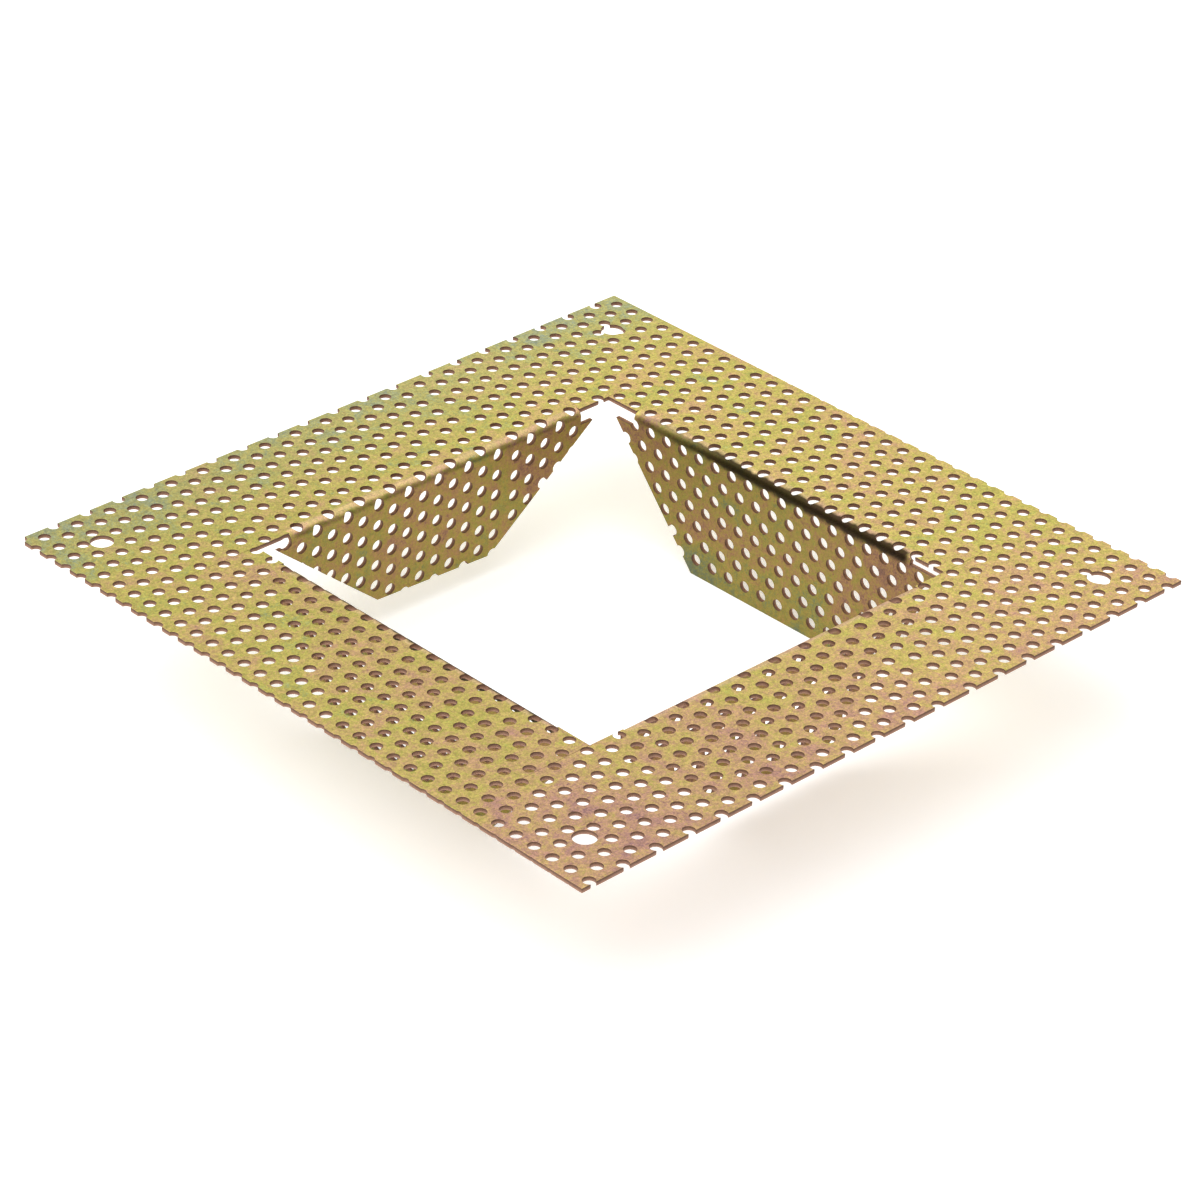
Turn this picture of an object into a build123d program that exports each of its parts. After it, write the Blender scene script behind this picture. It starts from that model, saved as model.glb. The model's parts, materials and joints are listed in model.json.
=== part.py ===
from build123d import *
import math
import os

# Perforated mounting frame, bent from one square blank of punched sheet steel.
# Millimetres. Z = 0 is the underside of the flat flange, +Z is its show face, and
# the fins hang down. The origin is the middle of the four fixing holes.

# Sheet
sheet = 1.0                  # thickness
plate_side = 169.0           # outside edge of the square flange
bend_inside = 0.8            # radius on the underside of each fold

# Perforation: staggered columns of round holes
hole_diameter = 2.8
hole_pitch = 5.0             # hole to hole along a column
column_pitch = 4.235         # column to column, each moved half a pitch
pattern_turn = -0.45         # degrees: the blank was sheared slightly out of line with the holes
pattern_x = -68.18           # a hole of the pattern, from the middle of the plate
pattern_y = 9.04
pattern_columns = range(-12, 52)
pattern_rows = range(-50, 51)

# The press fed the sheet a little too far after one column
long_feed_column = 21
long_feed_x = 1.2
long_feed_y = 0.48
# and the middle columns of the back edge sit a little far out
slip_columns = range(4, 21)
slip_from = 60.0
slip_y = 0.8
# and the press missed one hole, beside the right-hand fold
missed_hole = (27, 7)        # column and row

# Opening and corner reliefs
opening = 100.0              # cut edge to cut edge at the reliefs
fold_inset = 0.7             # the faces of the fins stand this far inside the cut edge
relief_length = 8.8          # each relief runs this far along the fold from a corner
relief_width = 2.8           # and takes this much off the fin

# Fins. One straight cut from each corner of the opening parts a tall fin from a short one.
corner_cut = 39.5            # degrees between that cut and the tall fin's own direction
tall_side = 0.8              # the cut takes this much off the tall fin's width at the opening
short_side = 1.8             # and this much off the short fin's
tall_length = 32.0           # edge of the opening to the tip, in the flat sheet
tall_fold = 91.5             # degrees: 90 stands square to the flange
short_length = 26.7
short_fold = 93.0
# Two of the corners were sheared less neatly
narrow_relief = 1.2          # at the front end of the right-hand fin
back_left_side = 2.9         # taken off the back fin's width at its left end
back_left_length = 25.3
back_left_relief = 1.9

# Fixing holes
fixing_edge = 12.0           # from the two outside edges to the middle of a hole
fixing_diameter = 5.0

# Worked out from the sizes above
half_plate = plate_side / 2
half_opening = opening / 2
bend_outside = bend_inside + sheet
bend_middle = bend_inside + sheet / 2
bend_height = -bend_inside                             # height of each bend's axis
fold_line = half_opening - fold_inset + bend_outside   # the flat flange ends here
fold_half = half_opening - relief_length               # half the length of each fold
fixing_place = half_plate - fixing_edge

BACK, LEFT, FRONT, RIGHT = 0, 90, 180, 270


def pattern_hole(column, row):
    """Centre of one hole in the flat sheet."""
    x = column * column_pitch
    y = (row + (column % 2) / 2) * hole_pitch
    if column >= long_feed_column:
        x = x + long_feed_x
        y = y + long_feed_y
    turn = math.radians(pattern_turn)
    px = pattern_x + x * math.cos(turn) - y * math.sin(turn)
    py = pattern_y + x * math.sin(turn) + y * math.cos(turn)
    if column in slip_columns and py > slip_from:
        py = py + slip_y
    return px, py


punched = [(c, r) for c in pattern_columns for r in pattern_rows if (c, r) != missed_hole]
holes = [pattern_hole(column, row) for column, row in punched]
holes = [h for h in holes if max(abs(h[0]), abs(h[1])) < half_plate + hole_diameter]
fixing = [(sx * fixing_place, sy * fixing_place) for sx in (-1, 1) for sy in (-1, 1)]


def seen_from(side, point):
    """A point of the flat sheet as (along the fold, out from the middle) for one side."""
    turn = math.radians(-side)
    along = point[0] * math.cos(turn) - point[1] * math.sin(turn)
    out = point[0] * math.sin(turn) + point[1] * math.cos(turn)
    return along, out


def fold_plane(side, folded, radius, along=0.0):
    """Plane at a bend's axis, moved out by radius, facing the way the show face
    looks after the sheet has been folded down by that many degrees."""
    turn = math.radians(side)
    tilt = math.radians(folded)
    across = Vector(math.cos(turn), math.sin(turn), 0)
    outward = Vector(-math.sin(turn), math.cos(turn), 0)
    facing = Vector(0, 0, 1) * math.cos(tilt) - outward * math.sin(tilt)
    axis_point = outward * fold_line + across * along + Vector(0, 0, bend_height)
    return Plane(origin=axis_point + facing * radius, x_dir=across, z_dir=facing)


def without_crumbs(part):
    """The piece itself. Where a hole crosses a cut edge it can free a crumb of metal,
    which drops out in the press."""
    return part.solids().sort_by(SortBy.VOLUME)[-1]


def circles(points, diameter):
    """Round holes taken out of the sketch in hand."""
    if points:
        with Locations(*points):
            Circle(diameter / 2, mode=Mode.SUBTRACT)


def flange_strip(side, end):
    """Flat strip outside one edge of the opening. It reaches `end` each way along the
    fold, and steps back to the fold line between the two corner reliefs."""
    inner = [
        (-end, half_opening),
        (-fold_half, half_opening),
        (-fold_half, fold_line),
        (fold_half, fold_line),
        (fold_half, half_opening),
        (end, half_opening),
    ]
    outline = inner + [(end, half_plate), (-end, half_plate)]
    margin = max(hole_diameter, fixing_diameter) / 2

    def near(point):
        return abs(point[0]) < end + margin and half_opening - margin < point[1] < half_plate + margin

    with BuildPart() as strip:
        with BuildSketch(Plane.XY.rotated((0, 0, side))):
            with BuildLine():
                Polyline(*outline, close=True)
            make_face()
            circles([p for p in (seen_from(side, h) for h in holes) if near(p)], hole_diameter)
            circles([p for p in (seen_from(side, f) for f in fixing) if near(p)], fixing_diameter)
        extrude(amount=sheet)
    return strip


def fin_end(taper, side_cut, length, relief):
    """Corners of one end of a fin in the flat sheet, from its fold down to its tip."""
    lean = math.tan(math.radians(taper))
    root = half_opening - side_cut
    return [
        (fold_half, None),
        (fold_half, half_opening - relief),
        (root - lean * relief, half_opening - relief),
        (root - lean * length, half_opening - length),
    ]


def fin(side, fold, left_end, right_end):
    """Trapezoid folded down from one edge of the opening, with its bend. Its ends are
    those on the left and right of someone who looks out at that edge from the opening.
    The middle of the sheet keeps its length round the bend, so the holes carry on down."""
    bend_length = bend_middle * math.radians(fold)
    flat_start = fold_line - bend_length              # where the flat fin starts, in the flat sheet
    corners = right_end + [(-along, out) for along, out in reversed(left_end)]
    outline = [(along, 0.0 if out is None else out - flat_start) for along, out in corners]
    reach = min(left_end[-1][1], right_end[-1][1])
    sheet_holes = [seen_from(side, h) for h in holes]
    reach_out = hole_diameter / 2

    with BuildPart() as body:
        with BuildSketch(fold_plane(side, fold, bend_inside)):
            with BuildLine():
                Polyline(*outline, close=True)
            make_face()
            flat_holes = [
                (along, out - flat_start)
                for along, out in sheet_holes
                if abs(along) < out + reach_out and reach - reach_out < out < flat_start + reach_out
            ]
            circles(flat_holes, hole_diameter)
        extrude(amount=sheet)

        with BuildSketch(fold_plane(side, 0, bend_inside) * Rot(-90, 0, 0)):
            with Locations((0, -sheet / 2)):
                Rectangle(2 * fold_half, sheet)
        bend_axis = Axis(fold_plane(side, 0, 0).origin, fold_plane(side, 0, 0).x_dir)
        revolve(axis=bend_axis, revolution_arc=fold)

        for along, out in sheet_holes:
            on_bend = flat_start - reach_out < out < fold_line + reach_out
            if on_bend and abs(along) < fold_half + reach_out:
                folded = math.degrees(min(max(fold_line - out, 0), bend_length) / bend_middle)
                with BuildSketch(fold_plane(side, folded, 0, along)):
                    Circle(hole_diameter / 2)
                extrude(amount=bend_outside + sheet, mode=Mode.SUBTRACT)
    return body


os.makedirs("parts", exist_ok=True)

strips = {
    "flange_back": flange_strip(BACK, half_plate),
    "flange_front": flange_strip(FRONT, half_plate),
    "flange_left": flange_strip(LEFT, half_opening),
    "flange_right": flange_strip(RIGHT, half_opening),
}
short_end = fin_end(90 - corner_cut, short_side, short_length, relief_width)
tall_end = fin_end(corner_cut, tall_side, tall_length, relief_width)
narrow_end = fin_end(corner_cut, tall_side, tall_length, narrow_relief)
back_left_end = fin_end(90 - corner_cut, back_left_side, back_left_length, back_left_relief)
fins = {
    "fin_back": fin(BACK, short_fold, back_left_end, short_end),
    "fin_front": fin(FRONT, short_fold, short_end, short_end),
    "fin_left": fin(LEFT, tall_fold, tall_end, tall_end),
    "fin_right": fin(RIGHT, tall_fold, tall_end, narrow_end),
}
for name, piece in {**strips, **fins}.items():
    piece.part = Part(without_crumbs(piece.part).wrapped)
    piece.part.label = name
    export_step(piece.part, f"parts/{name}.step")
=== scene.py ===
import bmesh
import bpy
import json
import math
from mathutils import Matrix, Vector


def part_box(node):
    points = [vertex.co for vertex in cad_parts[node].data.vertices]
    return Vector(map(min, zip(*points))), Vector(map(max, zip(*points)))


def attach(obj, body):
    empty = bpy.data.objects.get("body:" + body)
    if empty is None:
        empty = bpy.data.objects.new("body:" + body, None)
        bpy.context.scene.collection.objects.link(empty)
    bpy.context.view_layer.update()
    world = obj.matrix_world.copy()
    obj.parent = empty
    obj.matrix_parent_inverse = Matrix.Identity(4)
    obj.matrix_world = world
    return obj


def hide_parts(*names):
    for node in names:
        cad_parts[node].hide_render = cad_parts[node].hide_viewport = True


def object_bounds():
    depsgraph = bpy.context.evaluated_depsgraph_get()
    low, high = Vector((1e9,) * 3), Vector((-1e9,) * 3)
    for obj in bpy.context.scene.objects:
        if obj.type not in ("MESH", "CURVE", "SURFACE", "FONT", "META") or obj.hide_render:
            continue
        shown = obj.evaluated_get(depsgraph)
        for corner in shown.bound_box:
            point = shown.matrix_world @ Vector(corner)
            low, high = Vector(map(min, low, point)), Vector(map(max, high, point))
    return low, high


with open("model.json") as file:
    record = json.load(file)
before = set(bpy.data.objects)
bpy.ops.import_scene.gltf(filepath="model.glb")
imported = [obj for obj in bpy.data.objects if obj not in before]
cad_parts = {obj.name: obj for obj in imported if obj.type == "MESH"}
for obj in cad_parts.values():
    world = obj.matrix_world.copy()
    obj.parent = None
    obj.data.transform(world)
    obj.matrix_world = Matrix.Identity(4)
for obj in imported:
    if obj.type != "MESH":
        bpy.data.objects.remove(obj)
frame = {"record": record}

# Perforated mounting frame, bent from one square of punched sheet steel, zinc plated
# and yellow passivated. Metres. +Z is the show face and the fins hang down. The four
# strips of the flange and the four fins are pieces of the same sheet.

cad_box = [list(corner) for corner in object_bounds()]
MM = 0.001

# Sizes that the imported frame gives
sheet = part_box("flange_back")[1][2]
half_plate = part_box("flange_back")[1][0]
half_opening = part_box("flange_left")[1][1]
floor_height = cad_box[0][2]
fixing = next(m for m in frame["record"]["mounts"] if m["name"] == "fixing_holes_left")
fixing_place = fixing["dims"]["spacing_y_mm"] * MM / 2
fixing_radius = fixing["dims"]["hole_r_mm"] * MM

# Folds, reliefs and fins, as the sheet was cut
bend_inside = 0.8 * MM
fold_inset = 0.7 * MM
relief_length = 8.8 * MM
relief_width = 2.8 * MM
corner_cut = 39.5
tall_side = 0.8 * MM
short_side = 1.8 * MM
tall_length = 32.0 * MM
tall_fold = 91.5
short_length = 26.7 * MM
short_fold = 93.0
narrow_relief = 1.2 * MM
back_left_side = 2.9 * MM
back_left_length = 25.3 * MM
back_left_relief = 1.9 * MM
bend_middle = bend_inside + sheet / 2
fold_line = half_opening - fold_inset + bend_inside + sheet
fold_half = half_opening - relief_length

# How the punch and the shear leave the metal
rim_roll = 0.07 * MM         # rounding where the punch went in
rim_break = 0.05 * MM        # each hole is this much wider where the punch came out
edge_roll = 0.10 * MM        # rounding along the sheared outline
torn_share = 0.35            # the torn part takes this share of the thickness
crumb_area = 60 * MM * MM    # a loose bit with less surface than this is dropped
hole_sides = 24
bend_steps = 12
crisp_angle = math.radians(38)
flat_facing = 0.999          # a face that looks up or down more than this wasn't cut
tiny = 1e-7

# Perforation
hole_radius = 1.4 * MM - rim_roll
hole_pitch = 5.0 * MM
column_pitch = 4.235 * MM
pattern_turn = math.radians(-0.45)
pattern_start = (-68.18 * MM, 9.04 * MM, 0.0)
first_column = -12
columns = 64
first_row = -50
rows = 101
long_feed_column = 21
long_feed = (1.2 * MM, 0.48 * MM, 0.0)
slip_columns = (4, 20)
slip_from = 60.0 * MM
slip = 0.8 * MM
missed_column = 27
missed_row = 7

BACK, LEFT, FRONT, RIGHT = 0, 90, 180, 270


# ------------------------------------------------------------------ node helpers

def put(tree, kind, *values, **settings):
    """A node with its settings, and its inputs linked or filled in, in order."""
    node = tree.nodes.new(kind)
    for key, value in settings.items():
        setattr(node, key, value)
    for slot, value in zip([s for s in node.inputs if s.enabled], values):
        if isinstance(value, bpy.types.NodeSocket):
            tree.links.new(value, slot)
        elif value is not None:
            slot.default_value = value
    return node


def calc(tree, operation, *values):
    """One step of arithmetic."""
    return put(tree, "ShaderNodeMath", *values, operation=operation).outputs[0]


def new_group(name, kind, inputs, outputs):
    """An empty node group with named sockets: (label, type, value) in, (label, type) out."""
    tree = bpy.data.node_groups.new(name, kind)
    for label, socket, value in inputs:
        made = tree.interface.new_socket(label, in_out="INPUT", socket_type="NodeSocket" + socket)
        if value is not None:
            made.default_value = value
    for label, socket in outputs:
        tree.interface.new_socket(label, in_out="OUTPUT", socket_type="NodeSocket" + socket)
    return tree, tree.nodes.new("NodeGroupInput").outputs, tree.nodes.new("NodeGroupOutput").inputs


# ------------------------------------------------------------------ punching

def punch_shape(tree, radius, thickness, roll, wider, sides):
    """Closed punch of the shape that it leaves in the sheet: rounded in at the top, and
    torn a little wider at the bottom."""
    margin = 0.3 * MM
    halfway = 0.3                # where the rounded rim has its middle step
    torn = calc(tree, "ADD", radius, wider)
    rim = calc(tree, "ADD", radius, roll)
    levels = [
        (-margin, torn),
        (0.0, torn),
        (calc(tree, "MULTIPLY", thickness, torn_share), radius),
        (calc(tree, "SUBTRACT", thickness, roll), radius),
        (calc(tree, "MULTIPLY_ADD", roll, -halfway, thickness),
         calc(tree, "MULTIPLY_ADD", roll, halfway, radius)),
        (thickness, rim),
        (calc(tree, "ADD", thickness, margin), rim),
    ]
    level = put(tree, "GeometryNodeInputIndex").outputs[0]
    height = tree.nodes.new("GeometryNodeIndexSwitch")
    width = tree.nodes.new("GeometryNodeIndexSwitch")
    for switch, column in ((height, 0), (width, 1)):
        switch.data_type = "FLOAT"
        while len(switch.index_switch_items) < len(levels):
            switch.index_switch_items.new()
        tree.links.new(level, switch.inputs[0])
        for slot, entry in zip(switch.inputs[1:], levels):
            if isinstance(entry[column], bpy.types.NodeSocket):
                tree.links.new(entry[column], slot)
            else:
                slot.default_value = entry[column]
    line = put(tree, "GeometryNodeCurvePrimitiveLine", (0, 0, 0), (0, 0, 1)).outputs[0]
    line = put(tree, "GeometryNodeResampleCurve", line, True, len(levels)).outputs[0]
    where = put(tree, "ShaderNodeCombineXYZ", 0.0, 0.0, height.outputs[0]).outputs[0]
    line = put(tree, "GeometryNodeSetPosition", line, True, where).outputs[0]
    ring = put(tree, "GeometryNodeCurvePrimitiveCircle")
    tree.links.new(sides, ring.inputs["Resolution"])
    ring.inputs["Radius"].default_value = 1.0
    body = put(tree, "GeometryNodeCurveToMesh", line, ring.outputs[0], width.outputs[0], True)
    return body.outputs[0]


def punched_sheet():
    """Node tree that punches the staggered pattern and the fixing holes out of a blank,
    drops the crumbs that this frees, and marks where the metal was cut."""
    tree, given, result = new_group("punched sheet", "GeometryNodeTree", [
        ("Blank", "Geometry", None), ("Thickness", "Float", sheet),
        ("Hole radius", "Float", hole_radius), ("Hole pitch", "Float", hole_pitch),
        ("Column pitch", "Float", column_pitch), ("Pattern turn", "Float", pattern_turn),
        ("Pattern start", "Vector", pattern_start), ("Long feed", "Vector", long_feed),
        ("Row slip", "Float", slip), ("Fixing radius", "Float", fixing_radius),
        ("Fixing place", "Float", fixing_place), ("Rim roll", "Float", rim_roll),
        ("Rim break", "Float", rim_break), ("Hole sides", "Int", hole_sides),
        ("Crumb area", "Float", crumb_area), ("Material", "Material", None),
    ], [("Sheet", "Geometry")])
    blank = given["Blank"]

    # the staggered pattern
    number = put(tree, "GeometryNodeInputIndex").outputs[0]
    column_number = calc(tree, "DIVIDE", calc(tree, "ADD", number, 0.5), float(rows))
    column_number = calc(tree, "FLOOR", column_number)
    column = calc(tree, "ADD", column_number, float(first_column))
    row = calc(tree, "MULTIPLY_ADD", column_number, -float(rows), number)
    row = calc(tree, "ADD", row, float(first_row))
    missed = calc(tree, "MULTIPLY", calc(tree, "COMPARE", column, float(missed_column), 0.5),
                  calc(tree, "COMPARE", row, float(missed_row), 0.5))
    half_step = calc(tree, "MULTIPLY", calc(tree, "MODULO", column_number, 2.0), 0.5)
    x = calc(tree, "MULTIPLY", column, given["Column pitch"])
    y = calc(tree, "MULTIPLY", calc(tree, "ADD", row, half_step), given["Hole pitch"])
    place = put(tree, "ShaderNodeCombineXYZ", x, y, 0.0).outputs[0]
    fed = calc(tree, "GREATER_THAN", column, long_feed_column - 0.5)
    step = put(tree, "ShaderNodeVectorMath", given["Long feed"], operation="SCALE")
    tree.links.new(fed, step.inputs["Scale"])
    place = put(tree, "ShaderNodeVectorMath", place, step.outputs[0], operation="ADD").outputs[0]
    turned = put(tree, "ShaderNodeVectorRotate", place, rotation_type="Z_AXIS")
    tree.links.new(given["Pattern turn"], turned.inputs["Angle"])
    place = put(tree, "ShaderNodeVectorMath", turned.outputs[0], given["Pattern start"],
                operation="ADD").outputs[0]
    apart = put(tree, "ShaderNodeSeparateXYZ", place).outputs
    first_slipped, last_slipped = slip_columns
    slipped = calc(tree, "GREATER_THAN", apart[1], slip_from)
    slipped = calc(tree, "MULTIPLY", slipped,
                   calc(tree, "GREATER_THAN", column, first_slipped - 0.5))
    slipped = calc(tree, "MULTIPLY", slipped,
                   calc(tree, "LESS_THAN", column, last_slipped + 0.5))
    moved = calc(tree, "MULTIPLY_ADD", slipped, given["Row slip"], apart[1])
    place = put(tree, "ShaderNodeCombineXYZ", apart[0], moved, 0.0).outputs[0]
    points = put(tree, "GeometryNodePoints", columns * rows, place).outputs[0]
    points = put(tree, "GeometryNodeDeleteGeometry", points, missed, domain="POINT").outputs[0]

    # only the punches that reach this blank
    limits = put(tree, "GeometryNodeBoundBox", blank).outputs
    spare = 0.1 * MM
    reach = calc(tree, "ADD", calc(tree, "ADD", given["Hole radius"], given["Rim roll"]), spare)
    margin = put(tree, "ShaderNodeCombineXYZ", reach, reach, 1.0).outputs[0]
    low = put(tree, "ShaderNodeVectorMath", limits[1], margin, operation="SUBTRACT").outputs[0]
    high = put(tree, "ShaderNodeVectorMath", limits[2], margin, operation="ADD").outputs[0]
    here = put(tree, "GeometryNodeInputPosition").outputs[0]
    above = put(tree, "FunctionNodeCompare", data_type="VECTOR", mode="ELEMENT",
                operation="GREATER_THAN")
    tree.links.new(here, above.inputs[4])
    tree.links.new(low, above.inputs[5])
    below = put(tree, "FunctionNodeCompare", data_type="VECTOR", mode="ELEMENT",
                operation="LESS_THAN")
    tree.links.new(here, below.inputs[4])
    tree.links.new(high, below.inputs[5])
    inside = put(tree, "FunctionNodeBooleanMath", above.outputs[0], below.outputs[0],
                 operation="AND").outputs[0]
    points = put(tree, "GeometryNodeSeparateGeometry", points, inside, domain="POINT").outputs[0]
    punch = punch_shape(tree, given["Hole radius"], given["Thickness"], given["Rim roll"],
                        given["Rim break"], given["Hole sides"])
    punches = put(tree, "GeometryNodeInstanceOnPoints", points, True, punch).outputs[0]
    punches = put(tree, "GeometryNodeRealizeInstances", punches).outputs[0]
    punched = put(tree, "GeometryNodeMeshBoolean", blank, punches, operation="DIFFERENCE",
                  solver="MANIFOLD")

    # the four fixing holes are drilled after, through whatever holes they meet
    corner = put(tree, "GeometryNodeInputIndex").outputs[0]
    east = calc(tree, "MULTIPLY_ADD", calc(tree, "MODULO", corner, 2.0), 2.0, -1.0)
    north = calc(tree, "MULTIPLY_ADD", calc(tree, "GREATER_THAN", corner, 1.5), 2.0, -1.0)
    spot = put(tree, "ShaderNodeCombineXYZ", calc(tree, "MULTIPLY", east, given["Fixing place"]),
               calc(tree, "MULTIPLY", north, given["Fixing place"]), 0.0).outputs[0]
    spots = put(tree, "GeometryNodePoints", 4, spot).outputs[0]
    drill = punch_shape(tree, given["Fixing radius"], given["Thickness"], given["Rim roll"],
                        given["Rim break"], given["Hole sides"])
    drills = put(tree, "GeometryNodeInstanceOnPoints", spots, True, drill).outputs[0]
    drills = put(tree, "GeometryNodeRealizeInstances", drills).outputs[0]
    drilled = put(tree, "GeometryNodeMeshBoolean", punched.outputs[0], drills, operation="DIFFERENCE",
                  solver="MANIFOLD")
    body = drilled.outputs[0]

    # crumbs: loose bits whose whole surface is small
    island = put(tree, "GeometryNodeInputMeshIsland").outputs[0]
    area = put(tree, "GeometryNodeInputMeshFaceArea").outputs[0]
    total = put(tree, "GeometryNodeAccumulateField", area, island, data_type="FLOAT",
                domain="FACE").outputs[2]
    crumb = calc(tree, "LESS_THAN", total, given["Crumb area"])
    body = put(tree, "GeometryNodeDeleteGeometry", body, crumb, domain="FACE", mode="ALL").outputs[0]

    # where in the sheet's thickness each point is, and which faces the tools cut
    here = put(tree, "GeometryNodeInputPosition").outputs[0]
    height = put(tree, "ShaderNodeSeparateXYZ", here).outputs["Z"]
    share = calc(tree, "DIVIDE", height, given["Thickness"])
    body = put(tree, "GeometryNodeStoreNamedAttribute", body, True, "depth", share,
               data_type="FLOAT", domain="POINT").outputs[0]
    normal = put(tree, "GeometryNodeInputNormal").outputs[0]
    facing = put(tree, "ShaderNodeSeparateXYZ", normal).outputs["Z"]
    cut = calc(tree, "LESS_THAN", calc(tree, "ABSOLUTE", facing), flat_facing)
    body = put(tree, "GeometryNodeStoreNamedAttribute", body, True, "cut", cut,
               data_type="FLOAT", domain="FACE").outputs[0]

    # smooth all over, with a crisp line where a cut meets the sheet's face
    body = put(tree, "GeometryNodeSetShadeSmooth", body, True, True, domain="FACE").outputs[0]
    mark = put(tree, "GeometryNodeInputNamedAttribute", "cut", data_type="FLOAT").outputs[0]
    border = calc(tree, "MULTIPLY", calc(tree, "GREATER_THAN", mark, 0.1),
                  calc(tree, "LESS_THAN", mark, 0.9))
    sharp = put(tree, "GeometryNodeInputMeshEdgeAngle").outputs[0]
    crisp = calc(tree, "MAXIMUM", border, calc(tree, "GREATER_THAN", sharp, crisp_angle))
    body = put(tree, "GeometryNodeSetShadeSmooth", body, crisp, False, domain="EDGE").outputs[0]
    body = put(tree, "GeometryNodeRealizeInstances", body).outputs[0]
    body = put(tree, "GeometryNodeSetMaterial", body, True, given["Material"]).outputs[0]
    tree.links.new(body, result[0])
    return tree


def folded_fin():
    """Node tree that folds a flat fin down along its fold line. The middle of the sheet
    keeps its length round the bend."""
    tree, given, result = new_group("folded fin", "GeometryNodeTree", [
        ("Flat sheet", "Geometry", None), ("Side", "Float", 0.0), ("Fold line", "Float", fold_line),
        ("Fold", "Float", math.radians(90)), ("Inside radius", "Float", bend_inside),
        ("Thickness", "Float", sheet), ("Material", "Material", None),
    ], [("Fin", "Geometry")])
    here = put(tree, "GeometryNodeInputPosition").outputs[0]
    square = put(tree, "ShaderNodeVectorRotate", here, rotation_type="Z_AXIS", invert=True)
    tree.links.new(given["Side"], square.inputs["Angle"])
    along, out, height = put(tree, "ShaderNodeSeparateXYZ", square.outputs[0]).outputs
    middle = calc(tree, "MULTIPLY_ADD", given["Thickness"], 0.5, given["Inside radius"])
    run = calc(tree, "MAXIMUM", calc(tree, "SUBTRACT", given["Fold line"], out), 0.0)
    angle = calc(tree, "MINIMUM", calc(tree, "DIVIDE", run, middle), given["Fold"])
    rest = calc(tree, "SUBTRACT", run, calc(tree, "MULTIPLY", middle, angle))
    radius = calc(tree, "ADD", height, given["Inside radius"])
    sine = calc(tree, "SINE", angle)
    cosine = calc(tree, "COSINE", angle)
    new_out = calc(tree, "SUBTRACT", given["Fold line"], calc(tree, "MULTIPLY", radius, sine))
    new_out = calc(tree, "SUBTRACT", new_out, calc(tree, "MULTIPLY", rest, cosine))
    new_height = calc(tree, "SUBTRACT", calc(tree, "MULTIPLY", radius, cosine), given["Inside radius"])
    new_height = calc(tree, "SUBTRACT", new_height, calc(tree, "MULTIPLY", rest, sine))
    folded = put(tree, "ShaderNodeCombineXYZ", along, new_out, new_height).outputs[0]
    back = put(tree, "ShaderNodeVectorRotate", folded, rotation_type="Z_AXIS")
    tree.links.new(given["Side"], back.inputs["Angle"])
    body = put(tree, "GeometryNodeSetPosition", given["Flat sheet"], True, back.outputs[0]).outputs[0]
    body = put(tree, "GeometryNodeRealizeInstances", body).outputs[0]
    body = put(tree, "GeometryNodeSetMaterial", body, True, given["Material"]).outputs[0]
    tree.links.new(body, result[0])
    return tree


def work(piece, tree, **values):
    """Runs a node tree on the piece and keeps the result as its plain mesh."""
    modifier = piece.modifiers.new(tree.name, "NODES")
    modifier.node_group = tree
    sockets = {item.name: item.identifier for item in tree.interface.items_tree
               if item.in_out == "INPUT"}
    for label, value in values.items():
        modifier[sockets[label.replace("_", " ").capitalize()]] = value
    seen = piece.evaluated_get(bpy.context.evaluated_depsgraph_get())
    made = bpy.data.meshes.new_from_object(seen)
    made.name = piece.name
    piece.modifiers.remove(modifier)
    piece.data = made


# ------------------------------------------------------------------ blanks

def blank(name, side, faces, joins_other):
    """Flat blank of one piece, cut from the sheet. `faces` are outlines of (along, out)
    that share their corners. `joins_other(along, out)` is true along an edge where the
    sheet carries on in the next piece, which isn't sheared or rounded."""
    mesh = bpy.data.meshes.new(name)
    solid = bmesh.new()
    corners = {}
    for face in faces:
        ring = []
        for along, out in face:
            key = (round(along, 8), round(out, 8))
            if key not in corners:
                corners[key] = solid.verts.new((along, out, 0.0))
            ring.append(corners[key])
        solid.faces.new(ring)
    lifted = bmesh.ops.extrude_face_region(solid, geom=solid.faces[:])["geom"]
    for part in lifted:
        if isinstance(part, bmesh.types.BMVert):
            part.co.z = sheet
    bmesh.ops.recalc_face_normals(solid, faces=solid.faces[:])
    outline = []
    for edge in solid.edges:
        middle = (edge.verts[0].co + edge.verts[1].co) / 2
        upper = all(abs(v.co.z - sheet) < tiny for v in edge.verts)
        at_side = any(abs(face.normal.z) < 0.5 for face in edge.link_faces)
        if upper and at_side and not joins_other(middle.x, middle.y):
            outline.append(edge)
    bmesh.ops.bevel(solid, geom=outline, offset=edge_roll, segments=2, profile=0.5, affect="EDGES")
    bmesh.ops.rotate(solid, verts=solid.verts[:], cent=(0, 0, 0),
                     matrix=Matrix.Rotation(math.radians(side), 3, "Z"))
    solid.to_mesh(mesh)
    solid.free()
    piece = bpy.data.objects.new(name, mesh)
    bpy.context.scene.collection.objects.link(piece)
    return piece


def flange_strip(name, side, end):
    """Strip of the flange outside one edge of the opening."""
    outline = [(-end, half_opening), (-fold_half, half_opening), (-fold_half, fold_line),
               (fold_half, fold_line), (fold_half, half_opening), (end, half_opening),
               (end, half_plate), (-end, half_plate)]

    def joins_other(along, out):
        on_fold = abs(out - fold_line) < tiny
        if end > half_opening:
            on_seam = abs(out - half_opening) < tiny and abs(along) > half_opening
        else:
            on_seam = abs(abs(along) - end) < tiny
        return on_fold or on_seam

    if end > half_opening:
        outline[0:1] = [(-end, half_opening), (-half_opening, half_opening)]
        outline[6:7] = [(half_opening, half_opening), (end, half_opening)]
    return blank(name, side, [outline], joins_other)


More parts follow.
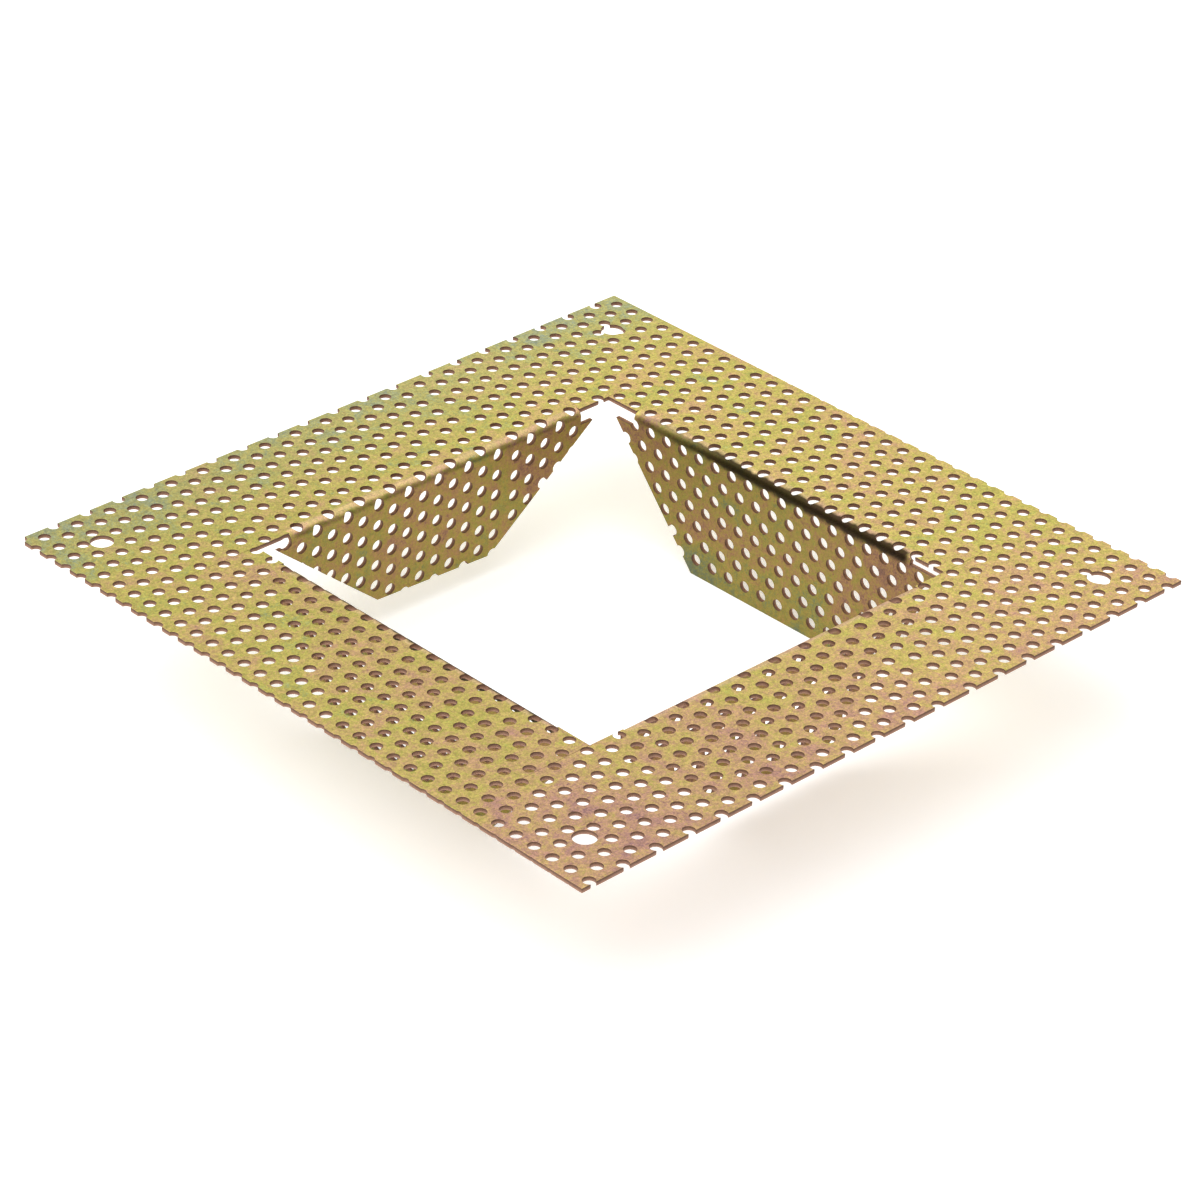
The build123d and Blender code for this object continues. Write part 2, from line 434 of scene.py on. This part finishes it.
def fin_end(taper, side_cut, length, relief):
    """Where one end of a fin runs in the flat sheet: its ear's root and corner, and its tip."""
    lean = math.tan(math.radians(taper))
    root = half_opening - side_cut
    return [(fold_half, half_opening - relief), (root - lean * relief, half_opening - relief),
            (root - lean * length, half_opening - length)]


def fin(name, side, fold, left_end, right_end):
    """Fin with its bend, still flat. Its ends are those on the left and right of someone
    who looks out at its edge from the opening."""
    bend_end = fold_line - bend_middle * math.radians(fold)
    steps = [fold_line + (bend_end - fold_line) * n / bend_steps for n in range(bend_steps + 1)]
    last = max(left_end[0][1], right_end[0][1])
    past_bend = bend_end - 0.3 * MM
    if last < past_bend:
        steps.append(past_bend)
    steps.append(last)
    faces = [[(-fold_half, near), (-fold_half, far), (fold_half, far), (fold_half, near)]
             for near, far in zip(steps, steps[1:])]
    left = [(-along, out) for along, out in reversed(left_end)]
    body = right_end + left
    if right_end[0][1] < last:
        body = [(fold_half, last)] + body
    if left_end[0][1] < last:
        body = body + [(-fold_half, last)]
    faces.append(body)
    return blank(name, side, faces, lambda along, out: abs(out - fold_line) < tiny)


# ------------------------------------------------------------------ finishes

def color(red, green, blue):
    """Shader colour for an everyday 0 to 255 one."""
    def straight(value):
        value = value / 255
        return value / 12.92 if value <= 0.04045 else ((value + 0.055) / 1.055) ** 2.4
    return (straight(red), straight(green), straight(blue), 1.0)


# Passivation film, from thin and greenish to thick and pinkish
film_tones = [
    (0.00, color(146, 164, 146)), (0.18, color(176, 182, 122)), (0.36, color(200, 192, 92)),
    (0.50, color(212, 190, 108)), (0.66, color(214, 176, 122)), (0.82, color(206, 158, 134)),
    (1.00, color(170, 128, 126)),
]
# Its clouds and grains: size, detail, distortion, and share in the film's thickness
film_clouds = (
    (24 * MM, 3.0, 0.6, 0.55),
    (6.5 * MM, 4.0, 0.9, 0.75),
    (2.0 * MM, 3.0, 0.3, 0.45),
    (0.5 * MM, 2.0, 0.0, 0.55),
)
# Walls of the holes and edges, from the underside up to the rim
cut_tones = [
    (0.0, color(178, 138, 116)), (0.4, color(146, 108, 86)), (0.8, color(112, 80, 62)),
    (1.0, color(98, 70, 52)),
]
# Painted highlight: the pale tone laid on the upper part of each bend
pale_painted_highlight = color(226, 190, 150)
speck_brown = color(110, 76, 52)
# Painted dark reflection: the near-black tone laid in a strip along the folds
painted_dark_reflection_tone = color(38, 29, 17)
back_grey = color(168, 160, 152)
fin_olive = color(176, 168, 138)


def noise(tree, place, size, detail=3.0, roughness=0.5, distortion=0.0):
    """Soft random value whose features are about `size` across."""
    made = put(tree, "ShaderNodeTexNoise", normalize=True)
    tree.links.new(place, made.inputs["Vector"])
    made.inputs["Scale"].default_value = 1 / size
    made.inputs["Detail"].default_value = detail
    made.inputs["Roughness"].default_value = roughness
    made.inputs["Distortion"].default_value = distortion
    return made.outputs["Fac"]


def spread(tree, value, low, high, to_low=0.0, to_high=1.0):
    """Value between low and high, stretched to the new limits and held there."""
    made = put(tree, "ShaderNodeMapRange", value, low, high, to_low, to_high)
    made.interpolation_type = "SMOOTHSTEP"
    return made.outputs[0]


def between(tree, value, start, full, end, gone):
    """1 from `full` to `end`, fading to nothing at `start` and at `gone`."""
    return calc(tree, "MULTIPLY", spread(tree, value, start, full), spread(tree, value, gone, end))


def ramp(tree, value, stops):
    """Colours along a value: stops are (place, colour)."""
    made = put(tree, "ShaderNodeValToRGB", value)
    points = made.color_ramp.elements
    while len(points) < len(stops):
        points.new(0.5)
    for point, (place, tone) in zip(points, stops):
        point.position = place
        point.color = tone
    return made.outputs[0]


def mixed(tree, share, first, second, way="MIX"):
    """The second colour laid over the first by a share."""
    made = tree.nodes.new("ShaderNodeMix")
    made.data_type = "RGBA"
    made.blend_type = way
    for slot, value in ((0, share), (6, first), (7, second)):
        if isinstance(value, bpy.types.NodeSocket):
            tree.links.new(value, made.inputs[slot])
        else:
            made.inputs[slot].default_value = value
    return made.outputs[2]


def shaded(tree, tone, strength):
    """A colour made darker or brighter by a factor."""
    made = put(tree, "ShaderNodeVectorMath", tone, operation="SCALE")
    tree.links.new(strength, made.inputs["Scale"])
    return made.outputs[0]


def passivation():
    """Colour of the yellow passivation. Its film is thin and greenish in some places and
    thick and pinkish in others, in drifting clouds and fine grains."""
    tree, given, result = new_group("passivation film", "ShaderNodeTree", [
        ("Place", "Vector", None), ("Film", "Float", 0.5), ("Cloud spread", "Float", 1.0),
    ], [("Color", "Color")])
    roughness = 0.58
    clouds = 0.0
    for size, detail, distortion, share in film_clouds:
        level = noise(tree, given["Place"], size, detail, roughness, distortion)
        clouds = calc(tree, "MULTIPLY_ADD", calc(tree, "SUBTRACT", level, 0.5), share, clouds)
    film = calc(tree, "MULTIPLY_ADD", clouds, given["Cloud spread"], given["Film"])
    tree.links.new(ramp(tree, film, film_tones), result["Color"])
    return tree


def sheet_grain():
    """Fine speckle of the plated, rolled surface: a shade round 1, the height that goes
    with it, and a few brown specks."""
    tree, given, result = new_group("sheet grain", "ShaderNodeTree", [
        ("Place", "Vector", None), ("Strength", "Float", 0.3),
    ], [("Shade", "Float"), ("Height", "Float"), ("Specks", "Float")])
    place = given["Place"]
    fine = noise(tree, place, 0.28 * MM, 2.0, 0.7)
    coarse = noise(tree, place, 0.8 * MM, 2.0, 0.6)
    height = calc(tree, "MULTIPLY_ADD", fine, 0.6, calc(tree, "MULTIPLY", coarse, 0.4))
    swing = calc(tree, "MULTIPLY", given["Strength"], 4.0)
    shade = calc(tree, "MULTIPLY_ADD", calc(tree, "SUBTRACT", height, 0.5), swing, 1.0)
    dots = spread(tree, noise(tree, place, 0.5 * MM, 1.0, 0.5), 0.64, 0.74)
    dotted_areas = spread(tree, noise(tree, place, 9 * MM, 2.0, 0.5), 0.38, 0.60)
    tree.links.new(shade, result["Shade"])
    tree.links.new(height, result["Height"])
    tree.links.new(calc(tree, "MULTIPLY", dots, dotted_areas), result["Specks"])
    return tree


def fold_masks_and_painted_reflections():
    """Masks across the four folds: the fin below the bend, a painted highlight on the upper
    part of the bend, and a painted dark reflection in a near-black strip along it. They go
    by the distance across the fold, which is above 0 on the flange's side and below 0 on the fin's."""
    tree, given, result = new_group("fold masks and painted reflections", "ShaderNodeTree", [
        ("Place", "Vector", None),
    ], [("Fin", "Float"), ("Painted highlight", "Float"), ("Painted dark reflection", "Float")])
    x, y, z = put(tree, "ShaderNodeSeparateXYZ", given["Place"]).outputs
    wide = calc(tree, "ABSOLUTE", x)
    deep = calc(tree, "ABSOLUTE", y)
    out = calc(tree, "MAXIMUM", wide, deep)
    along = calc(tree, "MINIMUM", wide, deep)
    across = calc(tree, "SUBTRACT", calc(tree, "ADD", out, z), half_opening - fold_inset + sheet)
    wavy = calc(tree, "SUBTRACT", noise(tree, given["Place"], 4 * MM, 3.0, 0.6), 0.5)
    across = calc(tree, "MULTIPLY_ADD", wavy, 2.4 * MM, across)
    on_fold = spread(tree, along, fold_half + 0.3 * MM, fold_half - 2 * MM)
    on_tall = calc(tree, "GREATER_THAN", wide, deep)
    on_short = calc(tree, "SUBTRACT", 1.0, on_tall)

    fin_share = spread(tree, across, 0.2 * MM, -2.4 * MM)
    # painted highlight on the upper part of the bend
    painted_highlight = between(tree, across, 2.8 * MM, 1.8 * MM, 0.8 * MM, -0.4 * MM)
    # painted dark reflection: a near-black strip along the tall folds that is fuller towards the
    # front, and a weaker one along the short folds
    tall_painted_dark_reflection = between(tree, across, 1.8 * MM, 0.5 * MM, -1.7 * MM, -3.2 * MM)
    tall_painted_dark_reflection = calc(tree, "MULTIPLY", tall_painted_dark_reflection, spread(tree, y, 44 * MM, 10 * MM, 0.5, 1.0))
    short_painted_dark_reflection = between(tree, across, 0.6 * MM, -0.7 * MM, -1.1 * MM, -2.4 * MM)
    short_painted_dark_reflection = calc(tree, "MULTIPLY", short_painted_dark_reflection, 0.5)
    painted_dark_reflection = calc(tree, "ADD", calc(tree, "MULTIPLY", tall_painted_dark_reflection, on_tall),
                calc(tree, "MULTIPLY", short_painted_dark_reflection, on_short))
    tree.links.new(fin_share, result["Fin"])
    tree.links.new(calc(tree, "MULTIPLY", painted_highlight, on_fold), result["Painted highlight"])
    tree.links.new(calc(tree, "MULTIPLY", painted_dark_reflection, on_fold), result["Painted dark reflection"])
    return tree


def cut_metal():
    """Colour and share of the walls that the tools cut: brown in the holes, darkest just
    under the rim. The rolled rim itself keeps the film of the face."""
    tree, given, result = new_group("cut metal", "ShaderNodeTree", [
        ("Place", "Vector", None), ("Face color", "Color", None),
    ], [("Color", "Color"), ("Cut", "Float")])
    cut = put(tree, "ShaderNodeAttribute", attribute_name="cut").outputs["Fac"]
    depth = put(tree, "ShaderNodeAttribute", attribute_name="depth").outputs["Fac"]
    cut = calc(tree, "MULTIPLY", cut, spread(tree, depth, 0.99, 0.955))
    uneven = calc(tree, "SUBTRACT", noise(tree, given["Place"], 1.1 * MM, 2.0, 0.6), 0.5)
    brown = ramp(tree, calc(tree, "MULTIPLY_ADD", uneven, 0.5, depth), cut_tones)
    tree.links.new(mixed(tree, cut, given["Face color"], brown), result["Color"])
    tree.links.new(cut, result["Cut"])
    return tree


def inner(tree, group, **values):
    """A shared effect placed in a material, with its own values. Gives its outputs."""
    node = tree.nodes.new("ShaderNodeGroup")
    node.node_tree = group
    for label, value in values.items():
        slot = node.inputs[label.replace("_", " ").capitalize()]
        if isinstance(value, bpy.types.NodeSocket):
            tree.links.new(value, slot)
        else:
            slot.default_value = value
    return node.outputs


def start_material(name):
    """A new material: itself, its nodes, its shader and the place on the piece."""
    material = bpy.data.materials.new(name)
    material.use_nodes = True
    tree = material.node_tree
    place = tree.nodes.new("ShaderNodeTexCoord").outputs["Object"]
    return material, tree, tree.nodes["Principled BSDF"], place


def finish_metal(tree, shader, place, face_color, fold_masks, grain_strength):
    """Painted highlight and painted dark reflection on the folds, grain, cut walls, gloss and bump
    that the flange and the fins share.
    """
    painted_highlight_strength, speck_strength, painted_dark_reflection_strength = 0.55, 0.5, 0.96
    face_rough, grain_rough, cut_rough = 0.36, 0.25, 0.15
    face_metal, cut_metal_less, painted_dark_reflection_metal = 0.6, -0.35, 0.4
    bump_strength, bump_depth = 0.3, 0.02 * MM

    # painted highlight: a pale tone laid over the upper part of the bends
    painted_highlight = calc(tree, "MULTIPLY", fold_masks["Painted highlight"], painted_highlight_strength)
    tone = mixed(tree, painted_highlight, face_color, pale_painted_highlight)
    grained = inner(tree, grain, place=place, strength=grain_strength)
    tone = shaded(tree, tone, grained["Shade"])
    specks = calc(tree, "MULTIPLY", grained["Specks"], speck_strength)
    tone = mixed(tree, specks, tone, speck_brown)
    # painted dark reflection: near-black laid along the folds, with more metal there
    painted_dark_reflection = calc(tree, "MULTIPLY", fold_masks["Painted dark reflection"], painted_dark_reflection_strength)
    tone = mixed(tree, painted_dark_reflection, tone, painted_dark_reflection_tone)
    walled = inner(tree, walls, place=place, face_color=tone)
    tree.links.new(walled["Color"], shader.inputs["Base Color"])

    rough = calc(tree, "MULTIPLY_ADD", grained["Height"], grain_rough, face_rough)
    rough = calc(tree, "MULTIPLY_ADD", walled["Cut"], cut_rough, rough)
    tree.links.new(rough, shader.inputs["Roughness"])
    metal = calc(tree, "MULTIPLY_ADD", walled["Cut"], cut_metal_less, face_metal)
    metal = calc(tree, "MULTIPLY_ADD", fold_masks["Painted dark reflection"], painted_dark_reflection_metal, metal)
    tree.links.new(metal, shader.inputs["Metallic"])
    bump = put(tree, "ShaderNodeBump")
    bump.inputs["Strength"].default_value = bump_strength
    bump.inputs["Distance"].default_value = bump_depth
    tree.links.new(grained["Height"], bump.inputs["Height"])
    tree.links.new(bump.outputs[0], shader.inputs["Normal"])


def flange_material():
    """Straw yellow, greener and greyer along the back edge, browner and pinker along the
    front and towards its left corner, with painted light and shade that make it brighter on the right
    than on the left."""
    plain_film = 0.48
    back_film, front_film, corner_film = -0.20, 0.15, 0.12
    greyed = 0.22
    # painted shade and light: brightness factors at the left and the right of the flange
    left_painted_shade, right_painted_light = 0.86, 1.07

    material, tree, shader, place = start_material("yellow passivated flange")
    x, y = put(tree, "ShaderNodeSeparateXYZ", place).outputs[:2]
    to_back = spread(tree, y, 50 * MM, 88 * MM)
    to_front = spread(tree, y, -42 * MM, -84 * MM)
    to_left = spread(tree, x, 60 * MM, -90 * MM)
    to_corner = calc(tree, "MULTIPLY", to_left, spread(tree, y, 20 * MM, -84 * MM))
    film = calc(tree, "MULTIPLY_ADD", to_back, back_film, plain_film)
    film = calc(tree, "MULTIPLY_ADD", to_front, front_film, film)
    film = calc(tree, "MULTIPLY_ADD", to_corner, corner_film, film)
    tone = inner(tree, film_color, place=place, film=film, cloud_spread=1.0)["Color"]
    tone = mixed(tree, calc(tree, "MULTIPLY", to_back, greyed), tone, back_grey)
    # painted light and shade: the flange darker on the left and brighter on the right, as the light
    # falls
    tone = shaded(tree, tone, spread(tree, x, -66 * MM, 70 * MM, left_painted_shade, right_painted_light))
    finish_metal(tree, shader, place, tone, inner(tree, masks_and_painted_reflections, place=place), 0.55)
    return material


def fin_material():
    """Olive brown below the bend, mauve towards the front, greenish at the tips, and a
    little redder and brighter on the back fin."""
    plain_film = 0.47
    front_film, tip_film, back_film = 0.22, -0.22, 0.09
    back_light = 0.15

    material, tree, shader, place = start_material("yellow passivated fin")
    x, y, z = put(tree, "ShaderNodeSeparateXYZ", place).outputs
    fold_masks = inner(tree, masks_and_painted_reflections, place=place)
    to_front = spread(tree, y, 5 * MM, -40 * MM)
    to_tip = spread(tree, z, -16 * MM, -31 * MM)
    at_back = spread(tree, y, 46 * MM, 48 * MM)
    film = calc(tree, "MULTIPLY_ADD", to_front, front_film, plain_film)
    film = calc(tree, "MULTIPLY_ADD", to_tip, tip_film, film)
    film = calc(tree, "MULTIPLY_ADD", at_back, back_film, film)
    tone = inner(tree, film_color, place=place, film=film, cloud_spread=1.5)["Color"]
    olive = mixed(tree, 1.0, tone, fin_olive, "MULTIPLY")
    tone = mixed(tree, fold_masks["Fin"], tone, olive)
    tone = shaded(tree, tone, calc(tree, "MULTIPLY_ADD", at_back, back_light, 1.0))
    finish_metal(tree, shader, place, tone, fold_masks, 0.45)
    return material


film_color = passivation()
grain = sheet_grain()
masks_and_painted_reflections = fold_masks_and_painted_reflections()
walls = cut_metal()
flange_finish = flange_material()
fin_finish = fin_material()


# ------------------------------------------------------------------ the frame

press = punched_sheet()
folder = folded_fin()
strips = {
    "flange_back": (BACK, half_plate),
    "flange_front": (FRONT, half_plate),
    "flange_left": (LEFT, half_opening),
    "flange_right": (RIGHT, half_opening),
}
short_end = fin_end(90 - corner_cut, short_side, short_length, relief_width)
tall_end = fin_end(corner_cut, tall_side, tall_length, relief_width)
narrow_end = fin_end(corner_cut, tall_side, tall_length, narrow_relief)
back_left_end = fin_end(90 - corner_cut, back_left_side, back_left_length, back_left_relief)
fins = {
    "fin_back": (BACK, short_fold, back_left_end, short_end),
    "fin_front": (FRONT, short_fold, short_end, short_end),
    "fin_left": (LEFT, tall_fold, tall_end, tall_end),
    "fin_right": (RIGHT, tall_fold, tall_end, narrow_end),
}
pieces = {}
for node, (side, end) in strips.items():
    piece = flange_strip("sheet_" + node, side, end)
    work(piece, press, material=flange_finish)
    pieces[node] = piece
for node, (side, fold, left_end, right_end) in fins.items():
    piece = fin("sheet_" + node, side, fold, left_end, right_end)
    work(piece, press, material=fin_finish)
    work(piece, folder, side=math.radians(side), fold=math.radians(fold), material=fin_finish)
    pieces[node] = piece
for node, piece in pieces.items():
    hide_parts(node)
    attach(piece, "root")


# ------------------------------------------------------------------ studio

def floor():
    mesh = bpy.data.meshes.new("floor")
    half = 3.0
    mesh.from_pydata([(-half, -half, floor_height), (half, -half, floor_height),
                      (half, half, floor_height), (-half, half, floor_height)], [], [(0, 1, 2, 3)])
    plain = bpy.data.objects.new("floor", mesh)
    bpy.context.scene.collection.objects.link(plain)
    paint = bpy.data.materials.new("pale floor")
    paint.use_nodes = True
    shader = paint.node_tree.nodes["Principled BSDF"]
    shader.inputs["Base Color"].default_value = (0.9, 0.9, 0.9, 1)
    shader.inputs["Roughness"].default_value = 0.9
    shader.inputs["Specular IOR Level"].default_value = 0.1
    shader.inputs["Emission Color"].default_value = (1.0, 1.0, 1.0, 1)
    shader.inputs["Emission Strength"].default_value = 0.35
    mesh.materials.append(paint)


def softbox(name, place, aim, size, power):
    lamp = bpy.data.lights.new(name, "AREA")
    lamp.shape = "SQUARE"
    lamp.size = size
    lamp.energy = power
    holder = bpy.data.objects.new(name, lamp)
    holder.location = place
    holder.rotation_euler = (Vector(aim) - Vector(place)).to_track_quat("-Z", "Y").to_euler()
    bpy.context.scene.collection.objects.link(holder)


def studio():
    floor()
    world = bpy.data.worlds.new("pale studio")
    world.use_nodes = True
    world.node_tree.nodes["Background"].inputs["Color"].default_value = (1.0, 1.0, 1.0, 1)
    world.node_tree.nodes["Background"].inputs["Strength"].default_value = 0.5
    bpy.context.scene.world = world
    softbox("key light", (-0.5, 0.3, 1.6), (0, 0, 0), 2.4, 40.0)
    bpy.context.scene.view_settings.view_transform = "Standard"


def camera():
    """Long lens, from above the corner between the front and the left side."""
    lens = bpy.data.cameras.new("camera")
    lens.sensor_width = 36.0
    lens.lens = 136.235
    lens.clip_start = 0.01
    lens.clip_end = 20.0
    place = Vector((-562.68, -576.63, 472.44)) * MM
    look = Vector((0.59982, 0.61426, -0.51274)).normalized()
    roll = math.radians(1.725)
    level = look.cross(Vector((0, 0, 1))).normalized()
    upright = level.cross(look)
    right = level * math.cos(roll) + upright * math.sin(roll)
    up = upright * math.cos(roll) - level * math.sin(roll)
    holder = bpy.data.objects.new("camera", lens)
    holder.matrix_world = Matrix((right, up, -look)).transposed().to_4x4()
    holder.location = place
    bpy.context.scene.collection.objects.link(holder)
    bpy.context.scene.camera = holder


studio()
camera()
